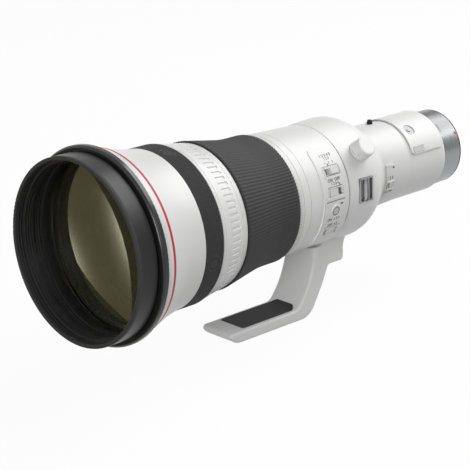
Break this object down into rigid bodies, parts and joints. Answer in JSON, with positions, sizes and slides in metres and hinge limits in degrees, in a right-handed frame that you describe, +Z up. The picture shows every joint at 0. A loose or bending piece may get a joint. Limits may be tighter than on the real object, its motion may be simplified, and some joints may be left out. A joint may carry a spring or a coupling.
{
  "type": "telephoto lens",
  "caption": "Long white telephoto lens with a large front glass, black grip rings, switch panel, rotating collar with bolted foot, drop-in filter and bayonet mount.",
  "frame": {"origin": "centre of the camera mount face at the rear of the lens", "axes": "+Y along the optical axis towards the camera, the front glass looks along -Y, +Z up and the foot points along -Z, +X is the photographer's left, the side of the switch panel"},
  "size_m": [0.163, 0.4366, 0.1981],
  "materials": {
    "white_paint": "satin off-white paint",
    "white_knob": "satin off-white",
    "switch_white": "satin off-white",
    "button_white": "satin grey-white",
    "black_metal": "satin black anodised",
    "gloss_black": "glossy black",
    "black_rubber": "matt",
    "red_line": "crimson enamel",
    "inner_metal": "matt black",
    "glass": "coated glass",
    "bright_chrome": "brushed",
    "plate_chrome": "polished",
    "steel": "satin",
    "black_plastic": "matt",
    "gold": "polished",
    "mid_black": "satin"
  },
  "bodies": {
    "barrel": {"front_rim": "black_rubber", "hood_seat": "black_metal", "flange_ring": "gloss_black", "front_barrel": "white_paint", "red_ring": "red_line", "front_glass": "glass", "front_retaining_ring": "black_metal", "inner_barrel": "inner_metal", "second_cell": "inner_metal", "second_glass": "glass", "grip_ring": "black_rubber", "main_barrel": "white_paint", "switch_panel": "white_paint", "collar_retainer": "white_paint", "rear_barrel": "white_paint", "rear_panel": "white_paint", "mount_ring": "bright_chrome", "mount_seal": "black_rubber", "bayonet": "plate_chrome", "mount_screws": "steel", "contact_block": "black_plastic", "contact_pins": "gold", "rear_cell": "inner_metal", "rear_glass": "glass", "focus_motor": "inner_metal", "guide_rods": "steel", "iris_housing": "inner_metal", "iris_blades": "steel", "stabiliser_base": "inner_metal"},
    "collar_and_foot": {"collar": "white_paint", "strap_lugs": "steel", "foot": "white_paint", "foot_pad": "black_rubber", "foot_screws": "steel"},
    "lock_knob": {"lock_knob": "white_knob", "lock_stud": "steel"},
    "focus_ring": {"focus_ring_core": "black_metal", "focus_ring_rubber": "black_rubber"},
    "preset_ring": {"preset_ring": "white_paint"},
    "set_button": {"set_button": "button_white"},
    "rear_switch": {"rear_switch": "switch_white"},
    "filter_drawer": {"filter_holder": "white_paint", "lock_socket": "steel", "filter_rim": "black_metal", "filter_glass": "glass"},
    "focus_group": {"focus_carriage": "mid_black", "focus_glass": "glass"},
    "iris_ring": {"iris_ring": "mid_black"},
    "stabiliser_yoke": {"stabiliser_yoke": "steel"},
    "stabiliser_cell": {"stabiliser_cell": "mid_black", "stabiliser_glass": "glass"},
    "stop_button_1": {"stop_button_1": "black_rubber"},
    "stop_button_2": {"stop_button_2": "black_rubber"},
    "stop_button_3": {"stop_button_3": "black_rubber"},
    "stop_button_4": {"stop_button_4": "black_rubber"},
    "switch_1": {"switch_1": "switch_white"},
    "switch_2": {"switch_2": "switch_white"},
    "switch_3": {"switch_3": "switch_white"},
    "release_button_1": {"release_button_1": "button_white"},
    "release_button_2": {"release_button_2": "button_white"}
  },
  "joints": [
    {"name": "collar_turn", "type": "hinge", "parent": "barrel", "child": "collar_and_foot", "pos_m": [0, -0.1425, 0], "axis": [0, 1, 0], "continuous": true},
    {"name": "lock_knob_turn", "type": "hinge", "parent": "collar_and_foot", "child": "lock_knob", "pos_m": [0.04696, -0.1505, 0.03735], "axis": [0.7826, 0, 0.6225], "range_deg": [0, 270]},
    {"name": "focus_ring_turn", "type": "hinge", "parent": "barrel", "child": "focus_ring", "pos_m": [0, -0.269, 0], "axis": [0, 1, 0], "continuous": true},
    {"name": "preset_ring_turn", "type": "hinge", "parent": "barrel", "child": "preset_ring", "pos_m": [0, -0.319, 0], "axis": [0, 1, 0], "range_deg": [-12, 12], "stiffness_Nm_per_rad": 0.6},
    {"name": "stop_button_1_press", "type": "slide", "parent": "barrel", "child": "stop_button_1", "axis": [-0.2011, 0, -0.9796], "range_m": [0, 0.0008], "stiffness_N_per_m": 1500},
    {"name": "stop_button_2_press", "type": "slide", "parent": "barrel", "child": "stop_button_2", "axis": [-0.9796, 0, 0.2011], "range_m": [0, 0.0008], "stiffness_N_per_m": 1500},
    {"name": "stop_button_3_press", "type": "slide", "parent": "barrel", "child": "stop_button_3", "axis": [0.2011, 0, 0.9796], "range_m": [0, 0.0008], "stiffness_N_per_m": 1500},
    {"name": "stop_button_4_press", "type": "slide", "parent": "barrel", "child": "stop_button_4", "axis": [0.9796, 0, -0.2011], "range_m": [0, 0.0008], "stiffness_N_per_m": 1500},
    {"name": "set_button_press", "type": "slide", "parent": "barrel", "child": "set_button", "axis": [-0.9893, 0, 0.1461], "range_m": [0, 0.0005], "stiffness_N_per_m": 1500},
    {"name": "switch_1_slide", "type": "slide", "parent": "barrel", "child": "switch_1", "axis": [0, 1, 0], "range_m": [-0.006, 0]},
    {"name": "switch_2_slide", "type": "slide", "parent": "barrel", "child": "switch_2", "axis": [0, 1, 0], "range_m": [0, 0.006]},
    {"name": "switch_3_slide", "type": "slide", "parent": "barrel", "child": "switch_3", "axis": [0, 1, 0], "range_m": [-0.003, 0.003]},
    {"name": "rear_switch_slide", "type": "slide", "parent": "barrel", "child": "rear_switch", "axis": [0, 1, 0], "range_m": [-0.0016, 0.0016]},
    {"name": "filter_lift", "type": "slide", "parent": "barrel", "child": "filter_drawer", "axis": [0, 0, 1], "range_m": [0, 0.066]},
    {"name": "release_button_1_press", "type": "slide", "parent": "filter_drawer", "child": "release_button_1", "axis": [-0.9026, 0, -0.4305], "range_m": [0, 0.0008], "stiffness_N_per_m": 1500},
    {"name": "release_button_2_press", "type": "slide", "parent": "filter_drawer", "child": "release_button_2", "axis": [0.9026, 0, -0.4305], "range_m": [0, 0.0008], "stiffness_N_per_m": 1500},
    {"name": "focus_group_slide", "type": "slide", "parent": "barrel", "child": "focus_group", "axis": [0, 1, 0], "range_m": [-0.009, 0.009]},
    {"name": "iris_ring_turn", "type": "hinge", "parent": "barrel", "child": "iris_ring", "pos_m": [0, -0.1795, 0], "axis": [0, 1, 0], "range_deg": [0, 40]},
    {"name": "stabiliser_sideways", "type": "slide", "parent": "barrel", "child": "stabiliser_yoke", "axis": [1, 0, 0], "range_m": [-0.0015, 0.0015], "stiffness_N_per_m": 600},
    {"name": "stabiliser_up_down", "type": "slide", "parent": "stabiliser_yoke", "child": "stabiliser_cell", "axis": [0, 0, 1], "range_m": [-0.0015, 0.0015], "stiffness_N_per_m": 600}
  ]
}
